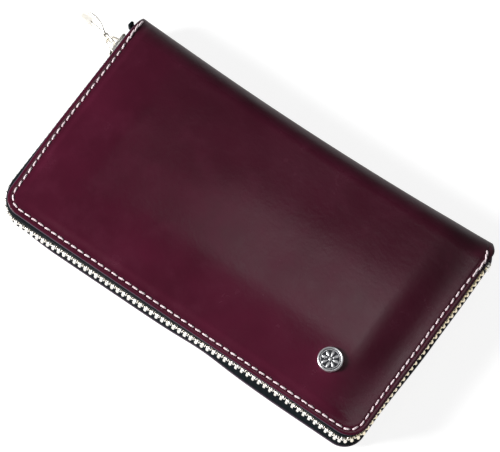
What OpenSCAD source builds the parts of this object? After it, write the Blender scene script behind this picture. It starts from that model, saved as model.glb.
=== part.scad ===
// Zip-around wallet, closed and lying on its back cover.
// Units are millimetres. +X runs along the case, +Y from the zip edge to the spine, +Z up.
// The origin is the centre of the flat resting face of the back cover.
// Front parts are the back parts mirrored in the middle plane of the case.

/* [Case] */
// Length of the leather case, end to end
case_l = 190; // [180:1:200]
// Width of the case, from the zip edge to the outside of the spine
case_w = 108; // [104:1:114]
// Thickness of the closed case over its padded covers
case_t = 24; // [24:0.5:26]
// Radius of the two corners at the zip edge
corner_r = 9.5; // [9:0.5:12]
// Thickness of the cover leather
leather_t = 1.2; // [1:0.1:1.3]
// How far the padded middle of a cover stands above its stitched border
pad_rise = 3.6; // [3.4:0.1:3.8]
// Width of the flat stitched border
border_w = 4.4; // [4:0.2:5]
// Width of the slope from the border to the flat middle of a cover
slope_w = 11.6; // [9:0.2:14]

/* [Stitching] */
// Distance of the stitch line from the edge
stitch_inset = 3; // [2.6:0.1:3.2]
// Distance from one stitch to the next
stitch_pitch = 3.7; // [3.4:0.1:4.5]
// Visible length of one stitch
stitch_l = 2.6; // [2:0.1:2.8]
// Width of the thread
thread_w = 0.7; // [0.5:0.1:0.9]

/* [Main zip] */
// Distance from one tooth to the next on one tape
tooth_pitch = 2.95; // [2.9:0.05:3.2]
// Thickness of a tooth along the chain
tooth_t = 1.25; // [1:0.05:1.25]
// Depth of a tooth, through the tape
tooth_d = 2.4; // [2.2:0.1:2.4]
// Width of the closed chain across both rows
chain_w = 5.8; // [5.4:0.1:6]
// Thickness of the woven tape
tape_t = 0.5; // [0.4:0.05:0.5]
// Length of the slider
slider_l = 12; // [10:0.5:12]
// Place of the closed slider along the left end
slider_y = 38.2; // [34:0.1:38.2]
// Length of the pull tab, from its hinge to its tip
tab_l = 16.5; // [12:0.5:24]
// Width of the pull tab at its widest
tab_w = 6.4; // [5:0.2:8]

/* [Badge] */
// Diameter of the round badge
badge_d = 11; // [8:0.5:12]
// Place of the badge along the case
badge_x = 65; // [55:1:70]
// Place of the badge across the case
badge_y = -31; // [-31:1:-20]

/* [Inside] */
// Thickness of the leather of a card pocket
pocket_t = 0.5; // [0.4:0.05:0.5]
// Card pockets on each cover, one above the other
pocket_n = 4; // [4]
// Step from one card pocket's mouth to the next
pocket_step = 12; // [10:0.5:13]
// Outside thickness of the coin pocket
coin_t = 5.7; // [5.7:0.1:5.9]
// Length of the coin pocket
coin_l = 160; // [140:2:164]

/* [Hidden] */

$fn = 48;
HULL_FN = 32;
EPS = 0.01;

// Colours
BURGUNDY = [0.27, 0.07, 0.11];
BLACK_CLOTH = [0.05, 0.06, 0.07];
CREAM = [0.95, 0.87, 0.86];
NICKEL = [0.85, 0.84, 0.80];
FOAM_GREY = [0.55, 0.55, 0.55];
BOARD_TAN = [0.60, 0.47, 0.33];

// Levels of the back half, counted up from the resting face
mid_z = case_t / 2;
border_z = pad_rise;                   // outer face of the stitched border
tape_z = border_z + leather_t;         // the tape lies on the inside of the border
lining_z = tape_z + tape_t;
lining_t = 0.6;
panel_z = lining_z + lining_t + 0.05;  // the card panel lies on the lining
board_t = 0.8;

// Plan of the case
half_l = case_l / 2;
low_y = -case_w / 2;
spine_r = case_t / 2;                  // outside radius of the round spine
spine_y = case_w / 2 - spine_r;        // centre line of the spine's arc
fold = spine_r * cos(45);              // from that centre line to each fold line
seam_end_y = spine_y + 7;              // the border, tapes and teeth stop here
plateau_inset = border_w + slope_w;
tape_reach = 7;                        // how far the tape runs in under the border
zip_grow = 0.6;                        // the zip's middle surface stands this far out of the border
neck_gap = 0.9;                        // between the two rows, for the slider's neck
tape_edge = 1.8;                       // the tapes' corded edges stop this far from the middle
teeth_end_y = seam_end_y - 5.6;        // the first and the last tooth
fold_gap = 0.25;                       // in degrees, between the leathers at each side of a fold

// ---------- outlines and paths ----------

// The case in plan, made larger all round by grow, and cut straight at back_y.
module outline(grow, back_y) {
    r = max(0.5, corner_r + grow);
    half = half_l + grow;
    low = low_y - grow;
    translate([-half, low + r]) square([2 * half, back_y - low - r]);
    translate([-half + r, low]) square([2 * (half - r), r + 1]);
    for (side = [-1, 1]) translate([side * (half - r), low + r]) circle(r);
}

// A U-shaped strip between two outlines.
module strip(grow_out, grow_in, back_y) {
    difference() {
        outline(grow_out, back_y);
        outline(grow_in, back_y + 1);
    }
}

// Length of the line that runs round the zip edge, grow outside the border, from end_y to end_y.
function line_length(grow, end_y) =
    2 * (end_y - low_y - corner_r) + PI * (corner_r + grow) + 2 * (half_l - corner_r);

// Place and turn at s along that line: [x, y, turn]. At turn 0 the line runs along -Y.
function line_at(s, grow, end_y) =
    let (
        r = corner_r + grow,
        side = end_y - low_y - corner_r,
        arc = PI * r / 2,
        front = 2 * (half_l - corner_r),
        cx = half_l - corner_r,
        cy = low_y + corner_r,
        first = (s - side) / arc * 90,
        second = (s - side - arc - front) / arc * 90
    )
    s < side ? [-half_l - grow, end_y - s, 0]
    : s < side + arc ? [-cx - r * cos(first), cy - r * sin(first), first]
    : s < side + arc + front ? [-cx + s - side - arc, low_y - grow, 90]
    : s < side + 2 * arc + front ? [cx + r * sin(second), cy - r * cos(second), 90 + second]
    : [half_l + grow, cy + s - side - 2 * arc - front, 180];

// Copies of the children along that line, from the first offset on, one pitch apart.
module along_line(grow, end_y, pitch, first) {
    total = line_length(grow, end_y);
    for (i = [0 : floor((total - first) / pitch)]) {
        p = line_at(first + i * pitch, grow, end_y);
        translate([p.x, p.y, 0]) rotate(p[2]) children();
    }
}

// The children again in the front half of the case.
module to_front() {
    translate([0, 0, case_t]) mirror([0, 0, 1]) children();
}

// A block given by its lowest and highest corners.
module block(low, high) {
    translate(low) cube(high - low);
}

// A flat sheet in plan, from z to z + t.
module layer(z, t) {
    translate([0, 0, z]) linear_extrude(t) children();
}

// ---------- covers, modelled as the back cover ----------

// The padded part of a cover, lowered into it by depth and drawn in at its rim by shrink.
module pillow(depth, shrink, rim_z) {
    hull() {
        layer(rim_z - EPS, EPS) outline(-border_w - shrink, spine_y, $fn = HULL_FN);
        layer(depth, EPS) outline(-plateau_inset - shrink, spine_y, $fn = HULL_FN);
    }
}

// The stretch of the spine's arc from angle a to angle b, along the length.
module spine_arc(r_out, r_in, a, b, length) {
    translate([-length / 2, spine_y, mid_z]) rotate([90, 0, 90]) linear_extrude(length)
        difference() {
            intersection() {
                circle(r_out, $fn = 96);
                polygon([[0, 0], 2 * r_out * [cos(a), sin(a)],
                         2 * r_out * [cos((a + b) / 2), sin((a + b) / 2)],
                         2 * r_out * [cos(b), sin(b)]]);
            }
            circle(r_in, $fn = 96);
        }
}

module cover_leather() {
    inner_l = case_l - 2 * border_w;
    color(BURGUNDY) {
        difference() {
            union() {
                layer(border_z, leather_t) outline(0, spine_y);
                pillow(0, 0, border_z + leather_t);
            }
            pillow(leather_t, leather_t, border_z + leather_t + 2 * EPS);
        }
        for (side = [-1, 1]) layer(border_z, leather_t) translate([side * (half_l - border_w / 2), 0])
            translate([-border_w / 2, spine_y - EPS]) square([border_w, seam_end_y - spine_y]);
        spine_arc(spine_r, spine_r - leather_t, -90, -45 - fold_gap, inner_l);
    }
}

module cover_foam() {
    color(FOAM_GREY) pillow(leather_t + 0.1, 4, tape_z - 0.3);
}

module cover_board() {
    color(BOARD_TAN) layer(lining_z - board_t, board_t) outline(-tape_reach - 0.5, spine_y - 1);
}

module cover_lining() {
    color(BLACK_CLOTH) layer(lining_z, lining_t) outline(-0.4, spine_y + 2);
}

module cover_stitching() {
    color(CREAM) along_line(-stitch_inset, seam_end_y - 1, stitch_pitch, stitch_l / 2)
        translate([-thread_w / 2, -stitch_l / 2, border_z - 0.25]) cube([thread_w, stitch_l, 0.25]);
}

// ---------- main zip, modelled as the back row ----------

module zip_tape() {
    color(BLACK_CLOTH) {
        layer(tape_z, tape_t) strip(zip_grow + tape_t / 2, -tape_reach, seam_end_y);
        layer(tape_z, mid_z - tape_edge - tape_z)
            strip(zip_grow + tape_t / 2, zip_grow - tape_t / 2, seam_end_y);
    }
}

// One tooth of the lower row, clamped over the edge of its tape, on a line that runs along Y.
// It reaches from the outer edge of the chain to the gap in the middle.
module tooth(depth, thick, chain, gap, tape, edge) {
    difference() {
        block([-depth / 2, -thick / 2, -chain / 2], [depth / 2, thick / 2, -gap / 2]);
        block([-tape / 2 - 0.03, -thick, -chain], [tape / 2 + 0.03, thick, -edge + 0.05]);
    }
}

module zip_teeth(first) {
    color(NICKEL) along_line(zip_grow, teeth_end_y, tooth_pitch, first)
        translate([0, 0, mid_z]) tooth(tooth_d, tooth_t, chain_w, neck_gap, tape_t, tape_edge);
}

// The small metal block on one tape that the closed slider comes up against.
module top_stop() {
    y = slider_y + slider_l / 2 + 1.1;
    color(NICKEL) translate([-half_l - zip_grow, y, mid_z])
        tooth(1.9, 1.5, chain_w, 1.2, tape_t, tape_edge);
}

// The end of the tape, folded outwards and sewn down beside the slider.
module tape_end(y, z_low, z_high) {
    x = -half_l - zip_grow - tape_t / 2;
    color(BLACK_CLOTH) block([x - 1.7, y, z_low], [x, seam_end_y + 0.3, z_high]);
}

// The metal block that joins the two tapes at the end of the chain.
module zip_bottom_stop() {
    color(NICKEL) translate([half_l + zip_grow, 0, mid_z]) difference() {
        block([-tooth_d / 2, seam_end_y - 4.6, -2.6], [tooth_d / 2, seam_end_y - 2, 2.6]);
        block([-tape_t, 0, tape_edge - 0.4], [tape_t, case_w, 3]);
        block([-tape_t / 2, 0, -3], [tape_t / 2, case_w, -tape_edge]);
    }
}

// ---------- card pockets, modelled on the back cover ----------

panel_half = half_l - 9;
panel_low = low_y + 9;
panel_high = spine_y - 1;
pocket_reach = 52;

module card_panel() {
    color(BURGUNDY) block([-panel_half, panel_low, panel_z], [panel_half, panel_high, panel_z + pocket_t]);
}

function pocket_mouth(k) = panel_low + 7 + (k - 1) * pocket_step;

module card_pocket(k) {
    z = panel_z + k * pocket_t;
    color(BURGUNDY) block([-panel_half, pocket_mouth(k), z],
        [panel_half, min(panel_high, pocket_mouth(k) + pocket_reach), z + pocket_t]);
}

// ---------- spine and coin pocket ----------

coin_half = coin_l / 2;
coin_wall = 0.7;
coin_lining = 0.3;
coin_mouth_y = panel_low + 12;         // free edge of the coin pocket
coin_root_y = spine_y + 9.8;           // where it meets the lining of the spine
coin_low_z = mid_z - coin_t / 2;
coin_gap_z = coin_low_z + coin_wall + coin_lining;
coin_tape_w = 6;
coin_tape_edge = 0.8;
coin_tooth_pitch = 2;
coin_tooth_t = 0.85;
coin_tooth_d = 1.7;
coin_chain_w = 3.4;
coin_neck_gap = 0.6;
coin_zip_y = coin_mouth_y - 0.2;       // middle surface of the coin zip
coin_chain_half = coin_half - 6;

module spine_leather() {
    half_angle = 45 - fold_gap;
    color(BURGUNDY) spine_arc(spine_r, spine_r - leather_t, -half_angle, half_angle, case_l);
}

spine_lining_r = spine_r - leather_t - 0.5;

module spine_lining() {
    color(BLACK_CLOTH) spine_arc(spine_r - leather_t, spine_lining_r, -40, 40, case_l - 2);
}

module coin_pocket_wall() {
    color(BURGUNDY) block([-coin_half, coin_mouth_y, coin_low_z],
        [coin_half, coin_root_y, coin_low_z + coin_wall]);
}

module coin_pocket_lining() {
    color(BLACK_CLOTH) block([-coin_half, coin_mouth_y + coin_tape_w + 0.2, coin_low_z + coin_wall],
        [coin_half, coin_root_y, coin_gap_z]);
}

module coin_pocket_gusset(side) {
    color(BLACK_CLOTH) translate([side * (coin_half - 0.6), 0, mid_z])
        block([-0.6, coin_mouth_y + coin_tape_w + 0.2, coin_gap_z - mid_z],
              [0.6, coin_root_y - 1.6, mid_z - coin_gap_z]);
}

// The binding that closes the coin pocket's bottom and sews it to the lining of the spine.
module coin_pocket_bottom() {
    color(BLACK_CLOTH) intersection() {
        block([-coin_half, coin_root_y - 1.5, coin_gap_z], [coin_half, case_w, case_t - coin_gap_z]);
        translate([-coin_half, spine_y, mid_z]) rotate([0, 90, 0])
            cylinder(h = coin_l, r = spine_lining_r - 0.02, $fn = 96);
    }
}

module coin_zip_tape() {
    z = coin_low_z + coin_wall;
    t = coin_lining;
    color(BLACK_CLOTH) {
        block([-coin_half, coin_zip_y - t / 2, z], [coin_half, coin_mouth_y + coin_tape_w, z + t]);
        block([-coin_half, coin_zip_y - t / 2, z],
            [coin_half, coin_zip_y + t / 2, mid_z - coin_tape_edge]);
    }
}

module coin_zip_teeth(first) {
    color(NICKEL)
        for (x = [-coin_chain_half + first : coin_tooth_pitch : coin_chain_half])
            translate([x, coin_zip_y, mid_z]) rotate(90) tooth(coin_tooth_d, coin_tooth_t,
                coin_chain_w, coin_neck_gap, coin_lining, coin_tape_edge);
}

module coin_zip_stops() {
    x = coin_chain_half + 1.4;
    color(NICKEL) for (side = [-1, 1]) translate([side * x, coin_zip_y, mid_z]) difference() {
        block([-0.9, -coin_tooth_d / 2, -1.6], [0.9, coin_tooth_d / 2, 1.6]);
        for (up = [-1, 1]) translate([0, 0, up * (coin_tape_edge + 1)])
            cube([3, coin_lining, 2], center = true);
    }
}

// ---------- badge ----------

module badge_disc() {
    r = badge_d / 2;
    color(NICKEL) translate([badge_x, badge_y, case_t]) {
        cylinder(h = 0.8, r = r);
        difference() {
            translate([0, 0, 0.8 - EPS]) cylinder(h = 0.4, r = r);
            cylinder(h = 2, r = r - 0.9);
        }
        translate([0, 0, -leather_t - 0.6]) cylinder(h = leather_t + 0.6 + EPS, r = 1.2);
    }
}

module badge_washer() {
    color(NICKEL) translate([badge_x, badge_y, case_t - leather_t - 0.5]) difference() {
        cylinder(h = 0.45, r = 3.6);
        translate([0, 0, -1]) cylinder(h = 3, r = 1.22);
    }
}

// Room for the badge's post and washer in the cover.
module badge_post_hole() {
    translate([badge_x, badge_y, case_t - leather_t - 1]) cylinder(h = 3, r = 1.25);
}

module badge_washer_pocket() {
    translate([badge_x, badge_y, case_t - leather_t - 0.7]) cylinder(h = 3, r = 3.8);
}

// ---------- main slider and pull ----------

slider_w = 8.4;
plate_t = 1.1;
channel = tooth_d + 0.3;               // room between the plates
zip_x = -half_l - zip_grow;
pull_x = zip_x - channel / 2 - plate_t - 1;     // hinge of the link, under the bridge
pull_turn = -10;                       // the pull stands out of the end, turned a little to the spine
wire_r = 0.5;
link_l = 5.2;
link_h = 5.6;

// A slider on a chain that runs along Y, with its outer plate at -X and its mouth at +Y.
// room is the height and chain the width of its channel, slit the gap for the tapes.
module slider(length, width, inner_w, room, chain, plate, slit, neck_t) {
    high = room / 2 + plate;
    mouth = length / 2;
    difference() {
        union() {
            rotate([0, -90, 0]) translate([0, 0, slit / 2]) linear_extrude(high - slit / 2)
                slider_plan(length, width);
            rotate([0, 90, 0]) translate([0, 0, slit / 2]) linear_extrude(high - slit / 2)
                slider_plan(length, inner_w);
        }
        block([-room / 2, -length, -chain / 2], [room / 2, length, chain / 2]);
    }
    // the neck joins the plates between the two rows of teeth
    block([-room / 2 - EPS, mouth - 0.3 * length, -neck_t / 2], [room / 2 + EPS, mouth - 0.6, neck_t / 2]);
}

// The plan of a slider plate: narrower at its tail, with rounded corners.
module slider_plan(length, width) {
    r = width / 5;
    polygon([[-width / 2, length / 2 - r], [-width / 2 + r, length / 2], [width / 2 - r, length / 2],
             [width / 2, length / 2 - r], [width / 2, 0], [width / 2 - r / 2, -length / 2],
             [-width / 2 + r / 2, -length / 2], [-width / 2, 0]]);
}

module slider_body() {
    color(NICKEL) translate([zip_x, slider_y, mid_z])
        slider(slider_l, slider_w, slider_w, channel, chain_w + 1, plate_t, tape_t + 0.5, neck_gap - 0.4);
}

// The arch on the outer plate that holds the pull.
module slider_bridge() {
    x = zip_x - channel / 2 - plate_t;
    color(NICKEL) translate([x, slider_y, mid_z]) difference() {
        block([-2.7, -3.4, -1.1], [0, 3.4, 1.1]);
        block([-1.85, -2.4, -2], [1, 2.4, 2]);
    }
}

// The children in the place of the pull, as if it pointed along -X from its hinge.
module pull_place() {
    translate([pull_x, slider_y, mid_z]) rotate(pull_turn) children();
}

// A rectangle of round wire: a pin under the bridge, two arms, and a pin in the tab.
module pull_link() {
    pins = [0, -link_l];
    color(NICKEL) pull_place() {
        for (x = pins) translate([x, 0, -link_h / 2]) cylinder(h = link_h, r = wire_r);
        for (z = [-1, 1]) translate([-link_l, 0, z * link_h / 2]) {
            rotate([0, 90, 0]) cylinder(h = link_l, r = wire_r);
            for (x = [0, link_l]) translate([x, 0, 0]) sphere(wire_r);
        }
    }
}

// A leaf of metal that stands upright, with its near end rolled round the link.
module pull_tab() {
    eye_r = wire_r + 0.7;
    eye_h = link_h - 2 * wire_r - 0.3;
    thick = 1.1;
    color(NICKEL) pull_place() translate([-link_l, 0, 0]) difference() {
        union() {
            translate([0, 0, -eye_h / 2]) cylinder(h = eye_h, r = eye_r);
            translate([0, thick / 2, 0]) rotate([90, 0, 0]) linear_extrude(thick) {
                polygon([[0, -eye_h / 2], [0, eye_h / 2], [-3.5, eye_h / 2], [-tab_l * 0.6, tab_w / 2],
                         [-tab_l + tab_w / 2, tab_w / 2], [-tab_l + tab_w / 2, -tab_w / 2],
                         [-tab_l * 0.6, -tab_w / 2], [-3.5, -eye_h / 2]]);
                translate([-tab_l + tab_w / 2, 0]) circle(tab_w / 2);
            }
        }
        translate([0, 0, -eye_h]) cylinder(h = 2 * eye_h, r = wire_r + 0.06);
    }
}

// ---------- coin slider and pull ----------

coin_slider_x = -coin_chain_half + 4;
coin_slider_l = 7;
coin_slider_w = 5;
coin_channel = coin_tooth_d + 0.3;
coin_plate = 0.7;
coin_inner_w = 2 * (mid_z - coin_gap_z) - 0.3;
coin_face_y = coin_zip_y - coin_channel / 2 - coin_plate;
coin_hinge_y = coin_face_y - 0.8;

module coin_slider_body() {
    color(NICKEL) translate([coin_slider_x, coin_zip_y, mid_z]) rotate(90)
        slider(coin_slider_l, coin_slider_w, coin_inner_w, coin_channel, coin_chain_w + 0.4,
            coin_plate, coin_lining + 0.4, coin_neck_gap - 0.3);
}

module coin_slider_bridge() {
    color(NICKEL) translate([coin_slider_x, coin_face_y, mid_z]) difference() {
        block([-2.4, -2.2, -0.7], [2.4, 0, 0.7]);
        block([-1.6, -1.5, -2], [1.6, 1, 2]);
    }
}

// A small tab that lies along the chain, with a pin under its bridge.
module coin_pull_tab() {
    pin_r = 0.4;
    thick = 0.8;
    high = 3.4;
    color(NICKEL) translate([coin_slider_x, coin_hinge_y, mid_z]) {
        translate([0, 0, -high / 2]) cylinder(h = high, r = pin_r);
        for (side = [-1, 1]) translate([0, 0, side * (high / 2 - pin_r)])
            block([0, -pin_r, -pin_r], [4.2, pin_r, pin_r]);
        block([4, -thick / 2, -high / 2], [11.6, thick / 2, high / 2]);
    }
}

// ---------- nodes ----------

cover_leather();  // back_cover_leather
cover_foam();  // back_foam
cover_board();  // back_board
cover_lining();  // back_lining
zip_tape();  // back_zip_tape
zip_teeth(0);  // back_zip_teeth
tape_end(seam_end_y - 3.5, tape_z + 1, mid_z - 3);  // back_tape_end
top_stop();  // back_top_stop
zip_bottom_stop();
cover_stitching();  // back_stitching
card_panel();  // back_card_panel
card_pocket(1);  // back_card_pocket_1
card_pocket(2);  // back_card_pocket_2
card_pocket(3);  // back_card_pocket_3
card_pocket(4);  // back_card_pocket_4
spine_leather();
spine_lining();
coin_pocket_wall();  // coin_pocket_back_wall
to_front() coin_pocket_wall();  // coin_pocket_front_wall
coin_pocket_lining();  // coin_pocket_back_lining
to_front() coin_pocket_lining();  // coin_pocket_front_lining
coin_pocket_gusset(-1);  // coin_pocket_left_gusset
coin_pocket_gusset(1);  // coin_pocket_right_gusset
coin_pocket_bottom();
coin_zip_tape();  // coin_zip_back_tape
to_front() coin_zip_tape();  // coin_zip_front_tape
coin_zip_teeth(0);  // coin_zip_back_teeth
to_front() coin_zip_teeth(coin_tooth_pitch / 2);  // coin_zip_front_teeth
coin_zip_stops();
difference() {  // front_cover_leather
    to_front() cover_leather();
    badge_post_hole();
}
difference() {  // front_foam
    to_front() cover_foam();
    badge_washer_pocket();
}
to_front() cover_board();  // front_board
to_front() cover_lining();  // front_lining
to_front() zip_tape();  // front_zip_tape
to_front() zip_teeth(4.5 * tooth_pitch);  // front_zip_teeth
to_front() tape_end(seam_end_y - 1.7, tape_z + 0.6, tape_z + 4.2);  // front_tape_end
to_front() top_stop();  // front_top_stop
to_front() cover_stitching();  // front_stitching
to_front() card_panel();  // front_card_panel
to_front() card_pocket(1);  // front_card_pocket_1
to_front() card_pocket(2);  // front_card_pocket_2
to_front() card_pocket(3);  // front_card_pocket_3
to_front() card_pocket(4);  // front_card_pocket_4
badge_disc();
badge_washer();
slider_body();
slider_bridge();
pull_link();
pull_tab();
coin_slider_body();
coin_slider_bridge();
coin_pull_tab();
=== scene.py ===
"""The looks of a long zip-around wallet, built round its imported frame.

Shapes are worked out in millimetres and turned into metres as each point is placed.
x runs along the wallet, y from the front zip edge to the spine, z up.
"""
import math

import bmesh
import bpy
from mathutils import Matrix, Vector, noise


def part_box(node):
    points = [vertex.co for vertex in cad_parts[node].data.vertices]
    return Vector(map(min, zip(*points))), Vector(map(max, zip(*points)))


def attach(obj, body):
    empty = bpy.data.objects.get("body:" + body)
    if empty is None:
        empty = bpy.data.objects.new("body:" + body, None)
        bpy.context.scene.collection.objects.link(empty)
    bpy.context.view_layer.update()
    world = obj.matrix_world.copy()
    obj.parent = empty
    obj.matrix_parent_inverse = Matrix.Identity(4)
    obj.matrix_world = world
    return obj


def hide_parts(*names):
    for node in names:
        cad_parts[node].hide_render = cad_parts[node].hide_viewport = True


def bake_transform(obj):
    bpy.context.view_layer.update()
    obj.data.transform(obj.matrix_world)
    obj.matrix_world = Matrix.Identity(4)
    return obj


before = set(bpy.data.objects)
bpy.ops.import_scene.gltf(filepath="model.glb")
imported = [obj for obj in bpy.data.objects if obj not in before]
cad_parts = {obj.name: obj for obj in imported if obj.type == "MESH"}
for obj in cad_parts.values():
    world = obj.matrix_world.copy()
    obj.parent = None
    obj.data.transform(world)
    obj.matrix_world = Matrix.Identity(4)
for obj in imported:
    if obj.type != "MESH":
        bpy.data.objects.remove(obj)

MM = 0.001
scene = bpy.context.scene
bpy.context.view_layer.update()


def box_mm(node):
    """The corners of a node's box in the frame, in millimetres."""
    low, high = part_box(node)
    return low / MM, high / MM


# ---------- sizes, from the frame ----------

cover_low, cover_high = box_mm("front_cover_leather")
spine_low, spine_high = box_mm("spine_leather")
stitch_low, _ = box_mm("front_stitching")
slider_low, slider_high = box_mm("slider_body")
HALF_L = cover_high.x
LOW_Y = cover_low.y
TOP_Z = cover_high.z
MID_Z = TOP_Z / 2
BORDER_Z = stitch_low.z
LEATHER_T = BORDER_Z - cover_low.z
SPINE_R = TOP_Z / 2
SPINE_Y = spine_high.y - SPINE_R
SPINE_DEV = SPINE_Y + SPINE_R * math.pi / 2
RISE = TOP_Z - BORDER_Z
SEAM_END = box_mm("front_zip_tape")[1].y
FRONT, BACK = 1, -1
COVER = {FRONT: "front_cover", BACK: "back_cover"}
SIDE = {FRONT: "front", BACK: "back"}
UP = Vector((0, 0, 1))

# how the padded covers are shaped: a flat stitched border, then slopes up to a slight dome
CORNER_R = 9.5
BORDER_W = 4.2
LEFT_SLOPE = 26
RIGHT_SLOPE = 21
FRONT_SLOPE = 32
CROWN = 0.7
SPINE_FALL = 0.9
UNEVEN = 0.28
RIM_R = 0.4

# the stitches round the border
STITCH_INSET = 2.7
STITCH_PITCH = 3.65
STITCH_L = 2.9
THREAD_R = 0.44
GROOVE = 0.28

# how far the soft wallet has settled out of true: along the spine, the front edges, the ends and the chain
WAIST_MIDDLE = -1.1
WAIST_ENDS = 1.7
EDGE_OUT = {FRONT: 0.3, BACK: 1.2}
EDGE_OUT_RIGHT = {FRONT: 0.0, BACK: 0.8}
EDGE_DIP = {FRONT: 0.0, BACK: 0.8}
DIP_X = 14
DIP_WIDTH = 14
LEFT_DRAWN_IN = 1.3
RIGHT_OUT = 0.55
RIGHT_DRAWN_IN = {FRONT: 1.0, BACK: 1.9}
CHAIN_LIFT = 0.8
CHAIN_TUCK = 1.15
CHAIN_TUCK_ALL = 0.5
TUCK_X = 40
TUCK_WIDTH = 34
RIGHT_TUCK = 0.8
RIGHT_TUCK_FRONT = 2.2
NOTCH = {1: 3.8, -1: 0.2}

# the main zip
ZIP_OUT = 0.6
TOOTH_PITCH = 2.95
TEETH_END = SEAM_END - 5.6
TAPE_T = 0.45
TAPE_W = 13.5

# the layers inside
LINING_T = 0.5
LINING_BEND = 13.6
LAYER_CORNER_R = 2.0
SEAM_X = 84.4
SEAM_LOW_Y = -42.5
POCKETS = (1, 2, 3, 4)
POCKET_STEP = 0.5
FINE_STITCH = (2.3, 0.2)
FINE_PITCH = 3.0


def smooth(t):
    """Goes from 0 to 1 with an easy start and end."""
    t = min(max(t, 0.0), 1.0)
    return t * t * (3 - 2 * t)


def swelling(t):
    """Rises steeply at 0 and levels out at 1."""
    t = min(max(t, 0.0), 1.0)
    return smooth(t / 0.12) * 0.16 * (1 - t) + math.sin(t * math.pi / 2) * (1 - 0.16 * (1 - t))


def bell(x, centre, width):
    """1 at the centre, falling away on both sides."""
    return math.exp(-(((x - centre) / width) ** 2))


# ---------- materials ----------


class Value:
    """A number that changes over a surface, so that shader maths reads as plain sums."""

    def __init__(self, finish, socket):
        self.finish, self.socket = finish, socket

    def _sum(self, operation, *terms):
        made = self.finish.node("ShaderNodeMath", {"operation": operation}, dict(enumerate(terms)))
        return Value(self.finish, made.outputs[0])

    def __add__(self, other):
        return self._sum("ADD", self, other)

    def __mul__(self, other):
        return self._sum("MULTIPLY", self, other)

    __radd__, __rmul__ = __add__, __mul__


class Finish:
    """A material with one principled surface. node() is the one place where nodes are made."""

    def __init__(self, name, colour, roughness, metallic=0.0, **constants):
        self.material = bpy.data.materials.new(name)
        self.material.use_nodes = True
        self.tree = self.material.node_tree
        self.surface = self.tree.nodes["Principled BSDF"]
        self.set("Base Color", (*colour, 1))
        self.set("Roughness", roughness)
        self.set("Metallic", metallic)
        for key, value in constants.items():
            self.set(key.replace("_", " "), value)

    def set(self, key, value):
        """Sets or links one input of the surface."""
        self.give(self.surface.inputs[key], value)

    def give(self, socket, value):
        if isinstance(value, Value):
            value = value.socket
        if isinstance(value, bpy.types.NodeSocket):
            self.tree.links.new(value, socket)
        else:
            socket.default_value = value

    def node(self, kind, settings=None, values=None):
        made = self.tree.nodes.new(kind)
        for key, value in (settings or {}).items():
            setattr(made, key, value)
        for key, value in (values or {}).items():
            self.give(made.inputs[key], value)
        return made

    def place(self, uv=False):
        return self.node("ShaderNodeTexCoord").outputs["UV" if uv else "Object"]

    def axis(self, index):
        """Where a point lies along x, y or z, in metres."""
        return Value(self, self.node("ShaderNodeSeparateXYZ", None, {0: self.place()}).outputs[index])

    def stretched(self, scale, turn=0.0, uv=False):
        values = {"Vector": self.place(uv), "Scale": scale, "Rotation": (0, 0, turn)}
        return self.node("ShaderNodeMapping", None, values).outputs[0]

    def noise(self, scale, detail=2.0, where=None, roughness=0.5):
        values = {"Vector": where or self.place(), "Scale": scale, "Detail": detail, "Roughness": roughness}
        return Value(self, self.node("ShaderNodeTexNoise", None, values).outputs["Fac"])

    def cells(self, scale, feature="F1"):
        values = {"Vector": self.place(), "Scale": scale}
        made = self.node("ShaderNodeTexVoronoi", {"feature": feature}, values)
        return Value(self, made.outputs["Distance"])

    def waves(self, scale, where, direction):
        settings = {"wave_type": "BANDS", "bands_direction": direction, "wave_profile": "SIN"}
        values = {"Vector": where, "Scale": scale, "Distortion": 0.0, "Detail": 0.0}
        return Value(self, self.node("ShaderNodeTexWave", settings, values).outputs["Fac"])

    def spread(self, value, low, high, to_low, to_high):
        """Takes the range from low to high to another range, and holds it there."""
        values = {0: value, 1: low, 2: high, 3: to_low, 4: to_high}
        return Value(self, self.node("ShaderNodeMapRange", None, values).outputs[0])

    def blend(self, mask, first, second):
        """The first colour where mask is 0, the second where it is 1."""
        values = {0: mask, 6: (*first, 1) if isinstance(first, tuple) else first,
                  7: (*second, 1) if isinstance(second, tuple) else second}
        return self.node("ShaderNodeMix", {"data_type": "RGBA"}, values).outputs[2]

    def bump(self, height, depth_mm, over=None):
        values = {"Height": height, "Distance": depth_mm * MM, "Strength": 1.0}
        if over is not None:
            values["Normal"] = over
        return self.node("ShaderNodeBump", None, values).outputs[0]


# where painted shade deepens the polished leather, towards its right end and its spine, and where it is
# dullest, in metres along x and y
PAINTED_SHADE_ACROSS = (0.066, 0.084)
PAINTED_SHADE_UP = (0.005, 0.035)
DULL_UP = (0.043, 0.05)


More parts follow.
